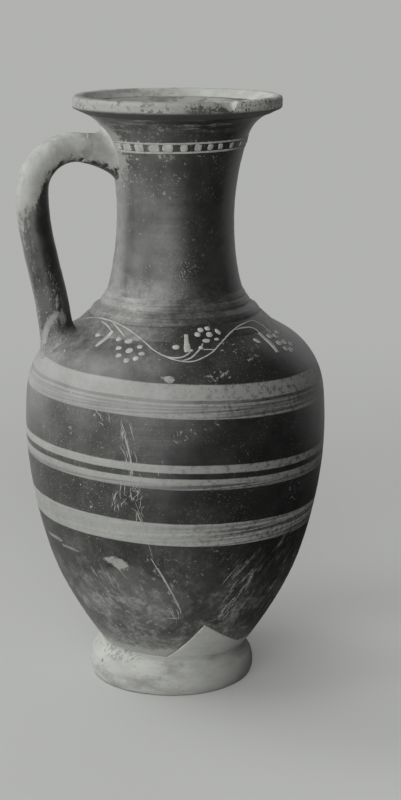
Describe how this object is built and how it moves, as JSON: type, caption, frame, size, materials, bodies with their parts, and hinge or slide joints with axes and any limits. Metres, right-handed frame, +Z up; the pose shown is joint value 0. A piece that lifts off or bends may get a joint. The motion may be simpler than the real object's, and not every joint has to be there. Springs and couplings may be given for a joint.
{
  "type": "one-handled jar",
  "caption": "Tall pottery jug with an ovoid body, ring foot, hollow neck, flaring lip and one rod handle, for holding and pouring liquids.",
  "frame": {"origin": "on the resting plane, under the axis of the jar", "axes": "+Z up along the axis of the jar, -X towards the handle, -Y towards the front with the fill"},
  "size_m": [0.1563, 0.152, 0.2985],
  "materials": {
    "pale_clay": "bare fired clay, rubbed and stained",
    "black_slip": "semi-gloss black slip, scuffed and scratched",
    "plaster": "smooth matte plaster fill",
    "worn_rim": "fired clay with most of its slip worn off",
    "worn_slip": "black slip worn through to the clay"
  },
  "bodies": {
    "root": {"foot": "pale_clay", "body": "black_slip", "repair_fill": "plaster", "neck": "black_slip", "collar": "black_slip", "lip": "worn_rim", "handle": "worn_slip", "handle_upper_pad": "worn_slip", "handle_lower_pad": "worn_slip"}
  },
  "joints": []
}
